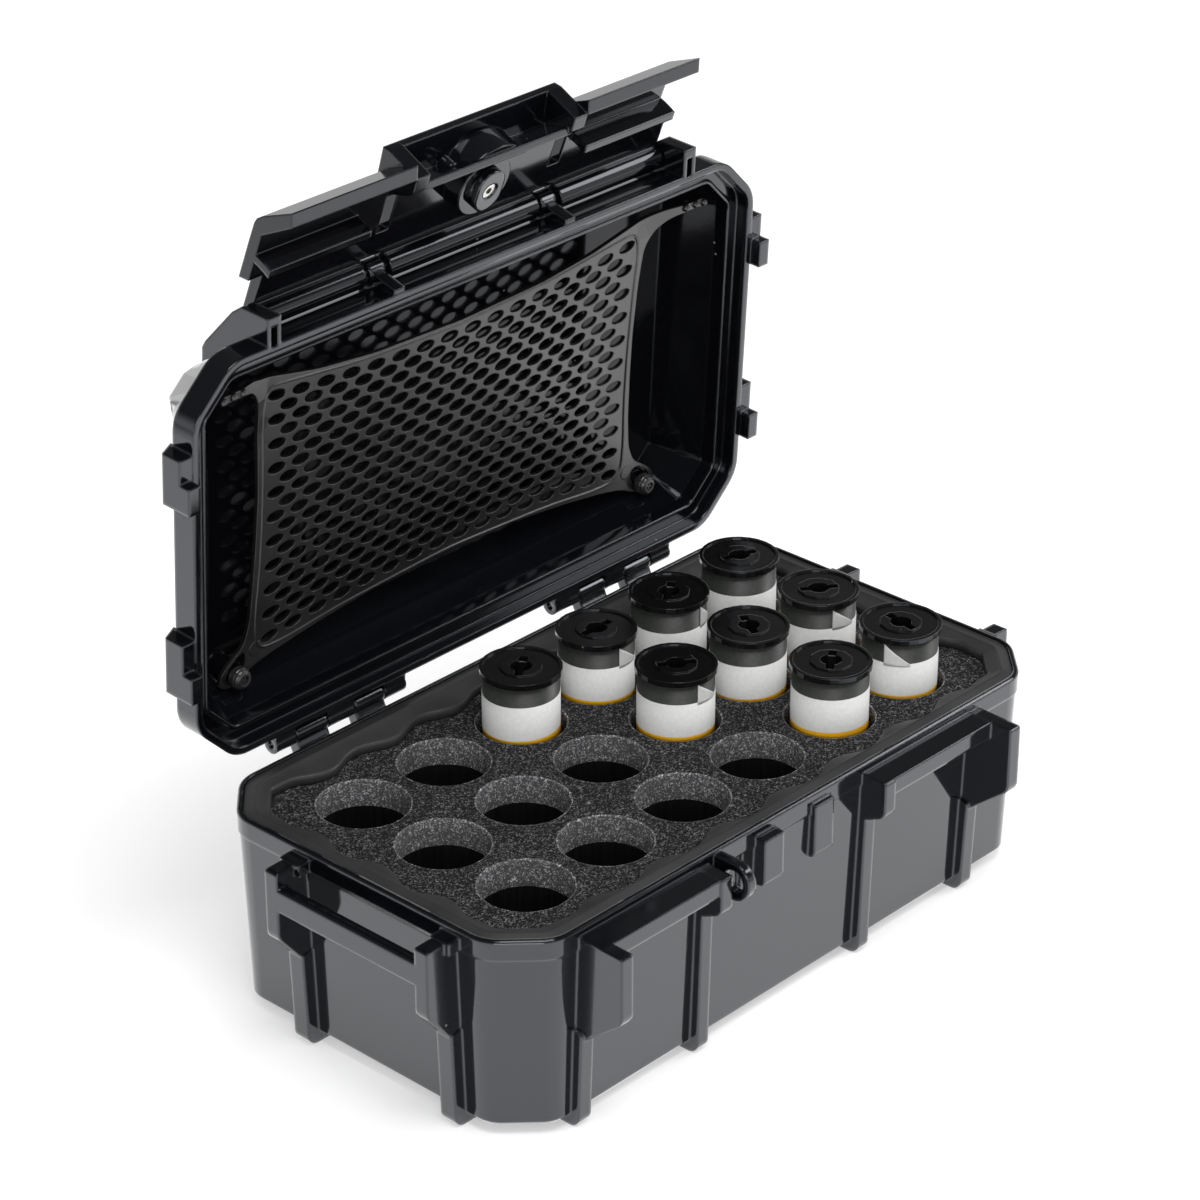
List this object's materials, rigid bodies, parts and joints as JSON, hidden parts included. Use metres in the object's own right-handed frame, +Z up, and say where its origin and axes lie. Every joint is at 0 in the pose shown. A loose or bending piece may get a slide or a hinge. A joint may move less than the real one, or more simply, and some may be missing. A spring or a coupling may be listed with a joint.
{
  "type": "film case",
  "caption": "Hinged hard case with a rubber liner and foam sockets that hold rolls of film upright, a net pad in the lid and a lockable full-width latch.",
  "frame": {"origin": "middle of the plane that the feet stand on", "axes": "+Z up, +X along the long side, -Y towards the latch"},
  "size_m": [0.2566, 0.172, 0.2453],
  "materials": {
    "shell": "glossy",
    "liner": "satin",
    "foam": "open foam",
    "steel": "bright",
    "net": "satin",
    "spool": "satin",
    "paper": "paper"
  },
  "bodies": {
    "base": {"base_shell": "shell", "rubber_liner": "liner", "foam_floor": "foam", "foam_core": "foam", "foam_face": "foam", "hinge_pin_left": "steel", "hinge_pin_right": "steel"},
    "lid": {"lid_shell": "shell", "net_screws": "steel", "latch_pin": "steel"},
    "net": {"lid_net": "net"},
    "latch": {"latch": "shell"},
    "lock": {"lock_plug": "steel", "lock_cam": "shell", "cam_screw": "steel"},
    "roll_back_3": {"spool_back_3": "spool", "film_back_3": "paper"},
    "roll_back_4": {"spool_back_4": "spool", "film_back_4": "paper"},
    "roll_back_5": {"spool_back_5": "spool", "film_back_5": "paper"},
    "roll_back_6": {"spool_back_6": "spool", "film_back_6": "paper"},
    "roll_middle_4": {"spool_middle_4": "spool", "film_middle_4": "paper"},
    "roll_middle_5": {"spool_middle_5": "spool", "film_middle_5": "paper"},
    "roll_middle_6": {"spool_middle_6": "spool", "film_middle_6": "paper"},
    "roll_front_5": {"spool_front_5": "spool", "film_front_5": "paper"},
    "roll_front_6": {"spool_front_6": "spool", "film_front_6": "paper"}
  },
  "joints": [
    {"name": "lid_hinge", "type": "hinge", "parent": "base", "child": "lid", "pos_m": [0, 0.0679, 0.0683], "axis": [-1, 0, 0], "range_deg": [-87, 0]},
    {"name": "net_give", "type": "hinge", "parent": "lid", "child": "net", "pos_m": [0, 0.08059, 0.08789], "axis": [1, 0, 0], "range_deg": [-5.6, 0]},
    {"name": "latch_hinge", "type": "hinge", "parent": "lid", "child": "latch", "pos_m": [0, 0.07082, 0.20374], "axis": [-1, 0, 0], "range_deg": [-51, 60]},
    {"name": "lock_turn", "type": "hinge", "parent": "latch", "child": "lock", "pos_m": [-0.0045, 0.06212, 0.22536], "axis": [0, -0.9278, -0.373], "range_deg": [-45, 45]},
    {"name": "roll_back_3_lift", "type": "slide", "parent": "base", "child": "roll_back_3", "axis": [0, 0, 1], "range_m": [0, 0.07]},
    {"name": "roll_back_4_lift", "type": "slide", "parent": "base", "child": "roll_back_4", "axis": [0, 0, 1], "range_m": [0, 0.07]},
    {"name": "roll_back_5_lift", "type": "slide", "parent": "base", "child": "roll_back_5", "axis": [0, 0, 1], "range_m": [0, 0.07]},
    {"name": "roll_back_6_lift", "type": "slide", "parent": "base", "child": "roll_back_6", "axis": [0, 0, 1], "range_m": [0, 0.07]},
    {"name": "roll_middle_4_lift", "type": "slide", "parent": "base", "child": "roll_middle_4", "axis": [0, 0, 1], "range_m": [0, 0.07]},
    {"name": "roll_middle_5_lift", "type": "slide", "parent": "base", "child": "roll_middle_5", "axis": [0, 0, 1], "range_m": [0, 0.07]},
    {"name": "roll_middle_6_lift", "type": "slide", "parent": "base", "child": "roll_middle_6", "axis": [0, 0, 1], "range_m": [0, 0.07]},
    {"name": "roll_front_5_lift", "type": "slide", "parent": "base", "child": "roll_front_5", "axis": [0, 0, 1], "range_m": [0, 0.07]},
    {"name": "roll_front_6_lift", "type": "slide", "parent": "base", "child": "roll_front_6", "axis": [0, 0, 1], "range_m": [0, 0.07]}
  ],
  "couplings": [
    {"joint": "net_give", "follows": "lid_hinge", "ratio": 0.06437}
  ]
}
